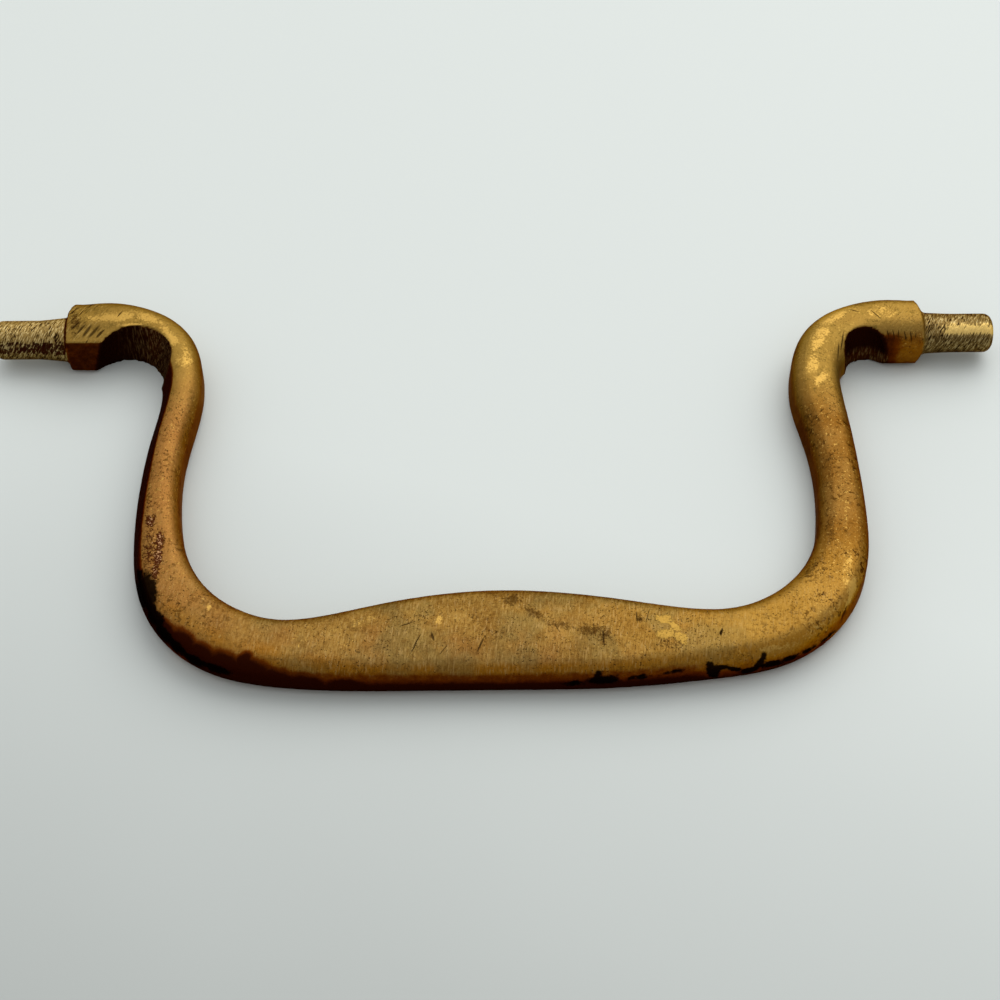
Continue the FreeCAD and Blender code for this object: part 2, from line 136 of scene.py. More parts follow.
me = casting.data
edges = np.zeros(len(me.edges) * 2, np.int32)
me.edges.foreach_get("vertices", edges)
edges = edges.reshape(-1, 2)
degree = np.bincount(edges.ravel(), minlength=len(me.vertices)).reshape(-1, 1)
points = readPoints(me)
edgeGap = np.array([sharpTree.find(p)[2] for p in points])
freedom = softStep(edgeGap, 0.1, bail["edgeKeep"]).reshape(-1, 1) * 0.8 + 0.12
for turn in range(bail["smoothTurns"]):
    total = np.zeros_like(points)
    np.add.at(total, edges[:, 0], points[edges[:, 1]])
    np.add.at(total, edges[:, 1], points[edges[:, 0]])
    # every second turn pushes back, so that the form doesn't shrink
    step = 0.5 if turn % 2 == 0 else -0.52
    points += (total / degree - points) * step * freedom
me.vertices.foreach_set("co", points.ravel())
me.update()
normals = readNormals(me)
print("facets smoothed")


def noiseAt(coords, size, seed=0.0):
    # smooth noise, about -1 to 1, whose grains measure size mm
    placed = coords / size + np.array((seed, -seed, 2 * seed))
    return np.array([noise.noise(p) for p in placed.tolist()])


# below, x, y and z are in mm, and nx, ny and nz say which way the surface faces, from -1 to 1
x, y, z = points.T
nx, ny, nz = normals.T

# notches: the point of the axis at the table, the lean of the axis, and the radius
notches = {
    "left": {"foot": (-40.2, 15.94), "lean": 15.5, "radius": 3.9},
    "right": {"foot": (40.8, 16.69), "lean": -6.5, "radius": 2.35},
}
inNotch = np.zeros(len(points))
for cut in notches.values():
    axisX = cut["foot"][0] + z * math.tan(math.radians(cut["lean"]))
    wall = np.hypot(x - axisX, y - cut["foot"][1])
    onWall = softStep(-np.abs(wall - cut["radius"]), -0.4, -0.15)
    inNotch = np.maximum(inNotch, onWall * softStep(-nz, -0.75, -0.55))
onPin = softStep(-x, -bail["leftEnd"] - 0.1, -bail["leftEnd"] + 0.2)
onPin = np.maximum(onPin, softStep(x, bail["rightEnd"] - 0.1, bail["rightEnd"] + 0.2))
onCollar = softStep(np.abs(x), 41.0, 43.5) * (1 - onPin)
# way round the pins' axis in degrees: 0 faces the grip, 90 is on top
wayRound = np.degrees(np.arctan2(z - bail["pinAxis"][1], bail["pinAxis"][0] - y))
wayRound = np.mod(wayRound + 90, 360) - 90

sink = np.zeros(len(points))
slow = noiseAt(points, 6.0, 3.1) + 0.5 * noiseAt(points, 2.4, 7.7)
sink += bail["wave"] * np.clip(0.5 + 0.5 * slow, 0, 1) * (1 - 0.6 * onPin)

# file ripples that run down the notch walls
ripple = noiseAt(points * np.array((1, 1, 0.12)), 0.34, 5.2)
sink += bail["rippleDepth"] * np.clip(ripple, -0.2, 1) * inNotch

# coarse pits along the lower front of the left pin
pitBand = softStep(-x, 46.9, 48.2) * softStep(wayRound, -10, 4) * (1 - softStep(wayRound, 36, 50))
pitGrain = noiseAt(points * np.array((1, 0.6, 0.6)), 0.42, 9.4) + 0.4 * noiseAt(points, 0.2, 1.3)
pits = pitBand * softStep(pitGrain, -0.05, 0.45)
sink += bail["pitDepth"] * pits

points = points - normals * sink.reshape(-1, 1)
np.clip(points[:, 2], 0, None, out=points[:, 2])
me.vertices.foreach_set("co", (points * mm).ravel())
me.update()
me.polygons.foreach_set("use_smooth", [True] * len(me.polygons))


def inPicture(coords, outward):
    # where points fall in the 1000 px picture, and how squarely they face the camera
    up, turn = math.radians(cameraView["elevation"]), math.radians(cameraView["turn"])
    ahead = np.array((-math.sin(turn) * math.cos(up), math.cos(turn) * math.cos(up), -math.sin(up)))
    right = np.array((math.cos(turn), math.sin(turn), 0))
    upward = np.cross(right, ahead)
    away = coords - np.array(cameraView["place"])
    scale = 1000 * cameraView["lens"] / 36 / (away @ ahead)
    square = -np.sum(away * outward, axis=1) / np.linalg.norm(away, axis=1)
    return 500 + scale * (away @ right), 500 - scale * (away @ upward), square


across, down, facing = inPicture(points, normals)
seen = softStep(facing, 0.0, 0.2)

# marks on the casting, ovals where the photograph shows them, in px of the 1000 px picture:
# across, down, half length, half width, turn in degrees, strength
marks = {
    "stain": [
        (146, 591, 17, 10, 100, 1.3), (139, 575, 6, 4, 110, 1.1), (151, 607, 7, 5, 115, 1.1),
        (156, 618, 9, 6, 130, 1.3), (164, 634, 12, 4.5, 132, 1.1), (177, 647, 12, 4.5, 140, 1.0),
        (195, 660, 13, 4, 152, 1.0), (217, 669, 14, 4, 160, 0.95), (604, 680, 17, 5, 4, 1.0),
        (598, 674, 5, 4, 60, 0.8), (575, 683, 12, 3, 2, 0.8), (640, 677, 14, 3, 8, 0.75),
        (672, 672, 14, 2.6, 12, 0.75), (713, 671, 6, 6.5, 60, 1.3), (710, 664, 3.5, 3, 0, 1.0),
        (721, 667, 9, 2.6, 0, 1.0), (735, 669, 11, 2.4, -8, 1.0), (749, 670, 11, 2.6, 10, 1.05),
        (759, 664, 9, 3.4, 48, 1.05), (764, 657, 5, 3.4, 80, 0.9), (772, 664, 13, 3.2, 10, 0.95),
        (790, 658, 14, 2.6, 20, 0.85), (808, 650, 14, 2.4, 28, 0.75), (826, 638, 14, 2.4, 40, 0.65),
        (721, 632, 3.5, 1.6, 62, 0.8), (640, 618, 3, 3.4, 0, 0.55),
    ],
    # band: painted shade and dark reflection along the front rounding and the lower edges, with dirt; it
    # goes into the grime
    "band": [
        (164, 630, 14, 9, 132, 1.1), (181, 642, 16, 12, 142, 1.1), (200, 656, 18, 12, 150, 1.1),
        (222, 666, 20, 14, 160, 1.1), (243, 660, 10, 6, 40, 1.1), (250, 673, 22, 14, 168, 1.1),
        (276, 680, 24, 11, 170, 1.1), (305, 684, 26, 10, 174, 1.05), (345, 686, 28, 8, 178, 1.0),
        (690, 680, 26, 4, 6, 0.6), (850, 622, 14, 4, 58, 0.6), (822, 646, 18, 4, 36, 0.6),
        (776, 669, 26, 5, 12, 0.75), (740, 675, 26, 3.5, 4, 0.7), (595, 684, 40, 7, 2, 0.9),
    ],
    "tarnish": [
        (512, 600, 9, 6, 15, 1.1), (534, 613, 13, 4.5, -24, 1.05), (560, 625, 16, 4.5, -10, 0.95),
        (590, 630, 15, 6, -6, 1.0), (605, 634, 6, 8, 0, 1.1), (480, 618, 18, 7, -12, 0.55),
        (500, 632, 24, 9, 10, 0.5), (470, 600, 12, 8, 60, 0.4), (556, 636, 14, 8, 0, 0.4),
        (672, 644, 17, 8, -8, 0.7), (206, 616, 14, 8, 150, 0.6), (430, 640, 16, 8, 70, 0.45),
        (412, 628, 14, 6, 10, 0.45), (582, 606, 14, 5, -10, 0.35), (640, 604, 18, 4, -16, 0.4),
        (146, 548, 5, 22, 0, 0.6), (330, 612, 30, 4, 6, 0.45), (700, 616, 26, 4, -2, 0.4),
        (75, 322, 6, 14, 0, 0.9), (290, 660, 30, 6, 176, 0.45), (366, 670, 40, 5, 178, 0.4),
        (640, 618, 4, 5, 0, 0.9), (810, 572, 14, 10, 60, 0.75), (832, 530, 10, 24, 0, 0.6),
        (838, 628, 12, 4, 55, 0.35), (812, 645, 12, 3, 30, 0.35), (864, 560, 3, 30, 0, 0.5),
        (832, 460, 10, 20, 0, 0.5), (812, 430, 7, 30, 0, 0.5), (190, 400, 8, 24, 0, 0.45),
        (152, 470, 5, 24, 0, 0.45), (108, 306, 22, 3, -4, 0.35), (880, 305, 20, 3, 4, 0.3),
        (805, 324, 14, 6, 40, 0.6), (797, 350, 5, 20, 0, 0.6), (150, 520, 5, 7, 0, 0.6),
    ],
    "redPits": [
        (150, 521, 5, 7, 0, 1.0), (160, 541, 4, 9, 0, 1.2), (158, 556, 4, 10, 0, 1.2),
        (155, 572, 4, 8, 0, 1.0), (150, 550, 8, 22, 0, 0.6), (148, 508, 4, 10, 0, 0.5),
    ],
    # rubbed metal, and painted highlights: the sheen on the grip's left front, the bright crest of the
    # right corner and the bright rims of the notches
    "rubAndHighlight": [
        (148, 318, 18, 5, -22, 0.9), (169, 336, 13, 6, -52, 1.0), (184, 358, 9, 12, 0, 0.7),
        (114, 317, 28, 4.5, 3, 1.0), (835, 314, 24, 7, 28, 1.0), (820, 338, 15, 8, 62, 0.9),
        (813, 364, 12, 7, 75, 0.9), (821, 378, 8, 6, 40, 1.0), (880, 312, 24, 8, 0, 0.6),
        (850, 602, 10, 3, 62, 1.1), (846, 575, 5, 30, 0, 0.6), (846, 520, 4, 34, 0, 0.45),
        (832, 612, 14, 5, 52, 0.55), (800, 636, 20, 4, 24, 0.55), (730, 655, 26, 4, 6, 0.55),
        (438, 618, 4.5, 7, 0, 0.8), (209, 607, 2.4, 3.6, 0, 0.9), (130, 325, 14, 1.8, 0, 1.2),
        (108, 338, 9, 1.6, 35, 1.0), (156, 344, 11, 1.8, -60, 1.0), (300, 640, 30, 7, -6, 0.4),
        (360, 622, 22, 8, 12, 0.4), (345, 640, 12, 8, 80, 0.45), (300, 648, 24, 5, 178, 0.4),
        (556, 642, 24, 4, 8, 0.4), (852, 590, 4, 14, -10, 1.1), (850, 560, 3, 20, 0, 0.7),
        (776, 648, 24, 4, 12, 0.8), (812, 630, 16, 4, 32, 0.7), (625, 655, 26, 4, 4, 0.5),
        (180, 640, 12, 4, 140, 0.35), (160, 480, 3, 26, 0, 0.4), (172, 420, 5, 24, 0, 0.4),
        (157, 553, 2.5, 3, 0, 0.9),
    ],
    # painted shade: a saturated golden tint on the left corner's front rounding
    "gold": [
        (186, 622, 28, 8, 143, 0.6), (216, 640, 22, 8, 152, 0.6), (266, 652, 26, 7, 168, 0.5),
        (330, 664, 44, 6, 176, 0.5),
    ],
    "gilt": [
        (664, 619, 9, 4.2, -4, 1.0), (675, 626, 7, 3.4, -40, 1.0), (665, 634, 11, 4.6, 6, 1.0),
        (681, 637, 8, 5, -40, 1.0),
    ],
}


def paintMarks(ovals):
    # strength 1 at an oval's middle, 0.5 at its rim and 0 at twice its size
    amount = np.zeros(len(points))
    for u, v, halfLength, halfWidth, turn, strength in ovals:
        c, s = math.cos(math.radians(turn)), math.sin(math.radians(turn))
        along = ((across - u) * c - (down - v) * s) / halfLength
        beside = ((across - u) * s + (down - v) * c) / halfWidth
        amount = np.maximum(amount, strength * (1 - softStep(np.hypot(along, beside), 0, 2)))
    return amount * seen


# dirt that hands don't rub off, together with painted shade and dark reflection, on the low front flanks,
# outside the left arm and in the filed hollows
# the low front flanks: painted dark reflection and shade, darker towards the table, with dirt
frontFlank = softStep(-ny, 0.62, 0.95) * softStep(-y, 8, 16)
frontFlank *= np.interp(x, (-34, -20, 0, 18, 21, 36), (1.0, 0.95, 1.0, 0.95, 0.62, 0.6))
grimeAndShade = frontFlank * (0.48 + 0.6 * softStep(-z, -3.0, -1.0))
# the band ovals add painted shade and dark reflection along the front rounding and the lower edges
grimeAndShade = np.maximum(grimeAndShade, paintMarks(marks["band"]))
# painted shade on the left-facing flank outside the left arm, and, lighter, on the right-facing flanks at
# the right arm's outer side
outerFlank = softStep(-nx, 0.3, 0.85) * softStep(-x, 30, 33)
grimeAndShade = np.maximum(grimeAndShade, outerFlank * 0.8)
grimeAndShade = np.maximum(grimeAndShade, softStep(nx, 0.6, 1.0) * softStep(x, 33, 36) * 0.3)
# painted shade close to the table
grimeAndShade = np.maximum(grimeAndShade, softStep(-z, -1.1, -0.2) * 0.45)
# painted dark reflection and shade on the barrels' flat front faces
leftFlat = softStep(-ny, 0.8, 0.95) * softStep(-x, 41.0, 42.2) * (1 - onPin)
grimeAndShade = np.maximum(grimeAndShade, leftFlat * 0.66)
rightFlat = softStep(-ny, 0.6, 0.9) * softStep(x, 42.0, 42.5) * (1 - onPin)
grimeAndShade = np.maximum(grimeAndShade, rightFlat * (0.66 - 0.34 * softStep(x, 42.8, 44.6)))
# painted shade in the notches: darkest on the left notch's left part and high on the right notch, lighter
# low down on the right notch
leftWall = 0.95 - 0.35 * softStep(x, -42, -36)
rightWall = 0.85 - 0.35 * softStep(-z, -3.0, -1.4)
grimeAndShade = np.maximum(grimeAndShade, inNotch * np.where(x < 0, leftWall, rightWall))

# dull brown: patina on the right pin's top and near its collar, and painted shade on the pins' lower front
# flanks and inside the right arm
onRightPin = onPin * softStep(x, 40, 45)
dullPatinaAndShade = onRightPin * (1 - softStep(wayRound, 30, 56)) * 0.72
dullPatinaAndShade = np.maximum(dullPatinaAndShade, onPin * softStep(-x, 40, 45) * (1 - softStep(wayRound, 22, 50)) * 0.6)
dullPatinaAndShade = np.maximum(dullPatinaAndShade, onRightPin * softStep(wayRound, 70, 90) * 0.55)
dullPatinaAndShade = np.maximum(dullPatinaAndShade, onRightPin * (1 - softStep(x, 47.5, 50)) * 0.5)
dullPatinaAndShade = np.maximum(dullPatinaAndShade, softStep(-nx, 0.45, 0.95) * softStep(x, 27, 32) * (1 - onPin) * 0.6)
blackBand = onPin * softStep(-x, 40, 45) * softStep(wayRound, -22, 14) * (1 - softStep(wayRound, 26, 62))

# a brighter band along the right pin, at a set way round its axis
streak = onPin * softStep(x, 48, 50) * softStep(wayRound, 38, 54) * (1 - softStep(wayRound, 58, 84))
# bright rubbed places and painted highlights, on upward faces
rubAndHighlight = paintMarks(marks["rubAndHighlight"]) * softStep(nz, 0.2, 0.6)

# freckled patina: most on the right arm and its bend, least on the grip
freckled = 0.3 + 0.45 * softStep(np.abs(x), 22, 32) + 0.25 * softStep(x, 28, 34)
# deeper, browner tone: the right arm's own tone, and painted shade on the back rim, the flanks, the rounded
# front edge and the underside
deepenedAndShaded = softStep(x, 29, 33) * softStep(-y, -19, -10) * softStep(y, -17, -10) * 0.75
deepenedAndShaded = np.maximum(deepenedAndShaded, softStep(ny, 0.15, 0.7) * softStep(-y, 0, 8) * 0.6)
deepenedAndShaded = np.maximum(deepenedAndShaded, softStep(np.abs(nx), 0.45, 0.9) * (1 - onPin))
deepenedAndShaded = np.maximum(deepenedAndShaded, softStep(-nz, -0.6, -0.2) * 0.6)
# painted shade: a saturated golden tint on the front-facing rounding, at the left corner, and on the right
# barrel's front face
golden = softStep(-ny, 0.3, 0.65) * softStep(-y, 8, 16) * 0.85
golden = np.maximum(golden, paintMarks(marks["gold"]))
yellower = np.maximum(onCollar, softStep(np.abs(x), 30, 34) * softStep(y, 6, 14))
reddened = softStep(-x, 20, 34) * 0.8 + softStep(x, 28, 34) * 0.3
# file stripes on the notch walls, which low on the right notch also paint a pale reflection of the table
stripesAndReflectionInNotch = np.where(x < 0, 0.8 * softStep(x, -42, -36), softStep(-z, -2.6, -1.4))

# what the points carry for the material
masks = {
    "stain": np.clip(paintMarks(marks["stain"]), 0, 1.3),
    "tarnish": paintMarks(marks["tarnish"]),
    "redPits": np.clip(paintMarks(marks["redPits"]), 0, 1.2),
    "rubAndHighlight": np.clip(rubAndHighlight, 0, 1.2),
    "streak": streak,
    "gilt": paintMarks(marks["gilt"]),
    "grimeAndShade": np.clip(grimeAndShade, 0, 1.1),
    "blackBand": np.clip(np.maximum(blackBand * 0.62, pits * 0.8), 0, 1),
    "dullPatinaAndShade": dullPatinaAndShade,
    "filedPin": onPin,
    "filedCollar": onCollar * (1 - inNotch) * np.where(x < 0, 1, 0.3),
    "filedNotch": inNotch,
    "stripesAndReflectionInNotch": inNotch * stripesAndReflectionInNotch,
    "yellower": yellower * (1 - inNotch) * (1 - onPin) * (1 - rightFlat),
    "freckled": freckled * (1 - onPin) * softStep(nz, -0.2, 0.3),
    # painted light: paler on the upward faces of the grip's right half
    "litRightTop": softStep(x, 4, 24) * softStep(-y, 6, 14) * softStep(nz, 0.1, 0.6) * 0.4,
    "reddened": reddened * softStep(-y, -18, -10),
    "deepenedAndShaded": deepenedAndShaded,
    "goldenShadedFront": np.maximum(golden, rightFlat * 0.7),
    "brushedGrip": softStep(-y, 6, 14) * (1 - 0.6 * softStep(np.abs(x), 18, 28)) + 0.15,
    "roundPin": np.radians(wayRound) * bail["pinRadius"] * mm,   # the way round the pins' axis in metres
}
for name, values in masks.items():
    layer = me.attributes.new(name, "FLOAT", "POINT")
    layer.data.foreach_set("value", values.astype(np.float32))
print("marks laid on:", len(masks), "masks")


def newMaterial(name):
    mat = bpy.data.materials.new(name)
    mat.use_nodes = True
    mat.node_tree.nodes.clear()
    return mat


def addNode(mat, kind, inputs=None, **settings):
    # inputs maps a socket's name or number to a value or to another node's output
    node = mat.node_tree.nodes.new(kind)
    for key, value in settings.items():
        setattr(node, key, value)
    for key, value in (inputs or {}).items():
        if isinstance(value, bpy.types.NodeSocket):
            mat.node_tree.links.new(value, node.inputs[key])
        else:
            node.inputs[key].default_value = value
    return node


def setStops(ramp, stops):
    while len(ramp.color_ramp.elements) > 1:
        ramp.color_ramp.elements.remove(ramp.color_ramp.elements[-1])
    for i, (place, color) in enumerate(stops):
        stop = ramp.color_ramp.elements[0] if i == 0 else ramp.color_ramp.elements.new(place)
        stop.position = place
        stop.color = linear(color)


def perSize(sizeMm):
    # noise scale for grains of this size, as Object coordinates are in metres
    return 1 / (sizeMm * mm)


# Cast yellow brass, hand filed and worn: a dull golden brown where hands rub it, brown to black
# where the patina stays, with fine file lines and specks that break up the shine.
brass = {
    "patinaDark": "#66451A",
    "patina": "#88652D",
    "patinaLight": "#A38040",
    "deep": "#784E16",
    # a saturated golden tint, painted shade of the front rounding
    "golden": "#9A630C",
    "olive": "#75663A",
    # painted light on top of the grip's right half
    "litPale": "#AE8230",
    "freckle": "#4A2E0C",
    # pale rubbed metal, also used for painted highlights and glints
    "brightRubAndHighlight": "#C49C4E",
    "redBrown": "#9C6836",
    "pale": "#AD8D57",
    "yellower": "#9A7E3A",
    "gilt": "#A8843C",
    "stain": "#080403",
    "tarnish": "#3C2409",
    "redPit": "#3C1206",
    # pale pink of the painted glints among the red pits
    "redPitGlint": "#D8A878",
    # grime colours, which also paint shade and dark reflection
    "redGrimeAndShade": "#602600",
    "grimeAndShade": "#300F05",
    "pit": "#38220C",
    "scratch": "#2A1808",
    # dull brown patina, also used for painted shade
    "dullPatinaAndShade": "#3C2A12",
    "pinBare": "#AE9256",
    "pinCutPale": "#DEC68A",
    "pinCutDark": "#2A1A09",
    "pinStreak": "#F0CC78",
    "collarCutPale": "#CBAC6A",
    "collarCutDark": "#33200D",
    # the notch walls' dark is painted shade; their stripes also paint a pale reflection of the table
    "notchWallShade": "#1C0D04",
    "stripeAndReflectionTone": "#8E7048",
    "grazing": "#A28260",       # what clean metal turns to at its rims
    "grazingDirtAndShade": "#2C1A0C",   # and what dirt and painted shade turn to
    "blotchSize": 3.5,      # mm
    "grainSize": 0.32,      # mm, the specks of the patina
    "speckSize": 0.2,       # mm, dark pits
    "brushWidth": 0.16,     # mm, drawn coarser than the real brush lines
    "fileWidth": 0.13,      # mm, cuts of a coarse file on the pins
    "collarFileWidth": 0.182,   # mm, and on the barrels' collars
    "roughness": 0.45,
    "speckRoughness": 0.35,     # how much duller the light specks are than the dark ones
}

mat = newMaterial("agedCastBrass")
coords = addNode(mat, "ShaderNodeTexCoord").outputs["Object"]
laid = {}
for name in masks:
    laid[name] = addNode(mat, "ShaderNodeAttribute", attribute_name=name).outputs["Fac"]

# coordinates that unroll the pins: along the axis, and the way round it
alongAxis = addNode(mat, "ShaderNodeSeparateXYZ", {"Vector": coords}).outputs["X"]
aroundPin = addNode(mat, "ShaderNodeCombineXYZ", {"X": alongAxis, "Y": laid["roundPin"]}).outputs[0]


def grain(size, detail=3.0, rough=0.55, longer=(1, 1, 1), turn=0.0, offset=0.0, vector=coords):
    # an uneven pattern whose grains measure size mm, drawn out along the turned axes by longer
    placed = addNode(mat, "ShaderNodeMapping", {
        "Vector": vector,
        "Rotation": (0, 0, math.radians(turn)),
        "Location": (offset, -offset, offset),
        "Scale": longer,
    }, vector_type="TEXTURE").outputs[0]
    return addNode(mat, "ShaderNodeTexNoise", {
        "Vector": placed, "Scale": perSize(size), "Detail": detail, "Roughness": rough,
    }).outputs["Fac"]


def addUp(start, *parts):
    # adds patterns up, each times its share
    total = start
    for part, share in parts:
        total = addNode(mat, "ShaderNodeMath", {
            0: part, 1: share, 2: total,
        }, operation="MULTIPLY_ADD").outputs[0]
    return total


def overlap(*parts):
    # where all of the parts show, as their product
    amount = parts[0]
    for part in parts[1:]:
        amount = addNode(mat, "ShaderNodeMath", {0: amount, 1: part}, operation="MULTIPLY").outputs[0]
    return amount


def either(*parts):
    # where any of the parts shows, as the largest of them
    amount = parts[0]
    for part in parts[1:]:
        amount = addNode(mat, "ShaderNodeMath", {0: amount, 1: part}, operation="MAXIMUM").outputs[0]
    return amount


def ragged(mask, breakUp, reach, low, high):
    # a mask whose rim is broken up by a pattern: it starts to show at low and shows fully at high
    broken = addUp(mask, (addUp(-0.5, (breakUp, 1.0)), reach))
    inside = addNode(mat, "ShaderNodeMapRange", {
        "Value": mask, "From Min": 0.02, "From Max": 0.2,
    }, interpolation_type="SMOOTHSTEP").outputs["Result"]
    rim = addNode(mat, "ShaderNodeMapRange", {
        "Value": broken, "From Min": low, "From Max": high,
    }, interpolation_type="SMOOTHSTEP").outputs["Result"]
    return overlap(inside, rim)


# patterns: the size of a grain in mm, detail, roughness, and an offset in metres that sets each apart
blotch = grain(brass["blotchSize"], 4, 0.6)
specks = grain(brass["grainSize"], 4, 0.7, offset=0.013)
flakePatches = grain(2.6, 3, 0.6, offset=0.083)
brushed = grain(brass["brushWidth"], 3, 0.6, longer=(1, 7, 4), turn=-7)
pinCuts = grain(brass["fileWidth"], 2, 0.6, (4.5, 1, 1), 66, 0.011, aroundPin)
collarCuts = grain(brass["collarFileWidth"], 2, 0.6, (6, 1, 1), 44, 0.017, aroundPin)
notchCuts = grain(brass["fileWidth"], 3, 0.6, longer=(1, 1, 10), offset=0.019)
dirtBreak = grain(0.8, 5, 0.7, offset=0.027)
fineBreak = grain(0.25, 3, 0.7, offset=0.035)
rubBreak = addUp(0.0, (grain(0.9, 4, 0.75, offset=0.021), 0.5), (grain(0.22, 3, 0.7, offset=0.043), 0.5))
bandBreak = grain(0.55, 5, 0.8, longer=(2.4, 1, 1), offset=0.047, vector=aroundPin)
bandTeeth = addUp(0.0, (bandBreak, 0.6), (pinCuts, 0.4))

# what shows of a pattern: where it starts, where it shows fully, and its least and most strength
levels = {
    "redPatches": (grain(7.5, 3, 0.6, offset=0.05), 0.46, 0.66, 0.0, 0.35),
    "redSpecks": (specks, 0.3, 0.62, 0.45, 0.85),
    "deepBlotches": (blotch, 0.35, 0.62, 1.0, 0.55),
    "olivePatches": (grain(5.0, 3, 0.6, offset=0.077), 0.46, 0.64, 0.0, 0.4),
    "flakes": (grain(0.5, 4, 0.7, offset=0.061), 0.52, 0.6, 0.0, 1.0),
    "flakePatches": (flakePatches, 0.4, 0.6, 0.05, 1.0),
    # bright points: painted glints
    "brightPoints": (grain(0.24, 2, 0.6, offset=0.053), 0.6, 0.7, 0.0, 1.0),
    "brushDark": (brushed, 0.5, 0.7, 0.0, 0.55),
    "brushPale": (brushed, 0.48, 0.3, 0.0, 0.45),
    "pits": (grain(brass["speckSize"], 2, 0.6, offset=0.031), 0.6, 0.67, 0.0, 1.0),
    "pitPatches": (grain(3.2, 2, 0.5, offset=0.07), 0.4, 0.6, 0.3, 1.0),
    "cutPatches": (grain(1.6, 2, 0.5, offset=0.09), 0.35, 0.62, 0.0, 1.0),
    "pinCutsPale": (pinCuts, 0.47, 0.36, 0.0, 0.9),
    "pinCutsDark": (pinCuts, 0.54, 0.61, 0.0, 1.0),
    "dullCuts": (pinCuts, 0.36, 0.6, 0.7, 1.1),
    "collarCutsPale": (collarCuts, 0.43, 0.34, 0.0, 0.3),
    "collarCutsDark": (collarCuts, 0.56, 0.64, 0.0, 1.0),
    "notchCutsPale": (notchCuts, 0.5, 0.38, 0.0, 0.75),
}
shown = {}
for name, (pattern, low, high, least, most) in levels.items():
    shown[name] = addNode(mat, "ShaderNodeMapRange", {
        "Value": pattern, "From Min": low, "From Max": high, "To Min": least, "To Max": most,
    }, interpolation_type="SMOOTHSTEP").outputs["Result"]
# the pins' dark cuts are less patchy than the collars'
pinPatches = addNode(mat, "ShaderNodeMapRange", {
    "Value": shown["cutPatches"], "From Min": 0.1, "From Max": 0.6, "To Min": 0.4, "To Max": 1.0,
}, interpolation_type="SMOOTHSTEP").outputs["Result"]

# masks with broken rims
# rubbed places and painted highlights
brightRubAndHighlight = ragged(laid["rubAndHighlight"], rubBreak, 3.2, 0.45, 0.85)
pinStreak = ragged(laid["streak"], pinCuts, -2.4, 0.25, 0.6)
gilt = ragged(laid["gilt"], grain(0.3, 4, 0.7, offset=0.041), 1.6, 0.46, 0.6)
tarnish = ragged(laid["tarnish"], grain(0.3, 4, 0.75, offset=0.023), 3.0, 0.45, 0.95)
redPits = ragged(laid["redPits"], fineBreak, 2.6, 0.5, 0.66)
# painted glints: pale pink specks among the red pits
redPitGlints = ragged(laid["redPits"], grain(0.2, 3, 0.7, offset=0.059), 4.0, 1.1, 1.35)
# grime, which also carries painted shade and dark reflection
thinGrimeAndShade = ragged(laid["grimeAndShade"], dirtBreak, 0.4, 0.2, 0.5)
thickGrimeAndShade = ragged(laid["grimeAndShade"], dirtBreak, 0.5, 0.4, 0.8)
blackTeeth = ragged(laid["blackBand"], bandTeeth, 3.2, 0.45, 0.62)
stain = ragged(laid["stain"], dirtBreak, 1.2, 0.32, 0.7)
pitted = overlap(shown["pits"], shown["pitPatches"])

# scratches and short strokes on top of the grip and round the collars and the right notch, from one
# end to the other in px of the picture, with the width in mm
strokes = [
    (477, 652, 484, 639, 0.15), (414, 647, 421, 635, 0.09), (411, 652, 416, 644, 0.09),
    (432, 632, 434, 641, 0.22), (400, 626, 412, 623, 0.1), (720, 636, 723, 629, 0.16),
    (636, 612, 638, 622, 0.12), (646, 622, 650, 610, 0.06), (841, 619, 846, 609, 0.12),
    (603, 632, 603, 645, 0.16), (556, 624, 560, 632, 0.06), (440, 655, 446, 646, 0.06),
    (83, 337, 92, 325, 0.3), (89, 338, 98, 326, 0.3), (96, 338, 102, 331, 0.24),
    (77, 334, 85, 324, 0.22), (72, 330, 79, 321, 0.16), (70, 315, 77, 309, 0.14),
    (78, 316, 84, 310, 0.14), (100, 333, 104, 329, 0.12), (118, 317, 122, 311, 0.14),
    (887, 330, 888, 337, 0.12), (893, 331, 894, 339, 0.12), (899, 330, 899, 338, 0.1),
    (905, 331, 905, 339, 0.14), (911, 332, 911, 341, 0.14), (916, 333, 916, 339, 0.1),
    (843, 333, 841, 349, 0.14), (847, 338, 845, 352, 0.12), (839, 344, 838, 360, 0.12),
    (850, 309, 858, 312, 0.1), (872, 311, 880, 318, 0.1),
]


def onCasting(u, v):
    # the point of the casting that shows at this place in the picture, mm
    return points[np.argmin(np.hypot(across - u, down - v) + 1000 * (facing < 0.3))]


def strokeMask(stroke):
    # a slim oval from one end of the stroke to the other
    u0, v0, u1, v1, width = stroke
    start, end = onCasting(u0, v0), onCasting(u1, v1)
    middle, run = (start + end) / 2, end - start
    placed = addNode(mat, "ShaderNodeMapping", {
        "Vector": coords,
        "Location": tuple(middle * mm),
        "Rotation": (0, 0, math.atan2(run[1], run[0])),
        "Scale": (math.hypot(run[0], run[1]) / 2 * mm, width / 2 * mm, 2 * mm),
    }, vector_type="TEXTURE").outputs[0]
    gap = addNode(mat, "ShaderNodeVectorMath", {0: placed}, operation="LENGTH").outputs["Value"]
    return addNode(mat, "ShaderNodeMapRange", {
        "Value": gap, "From Min": 1.5, "From Max": 0.6,
    }, interpolation_type="SMOOTHSTEP").outputs["Result"]


scratched = either(*[strokeMask(stroke) for stroke in strokes])

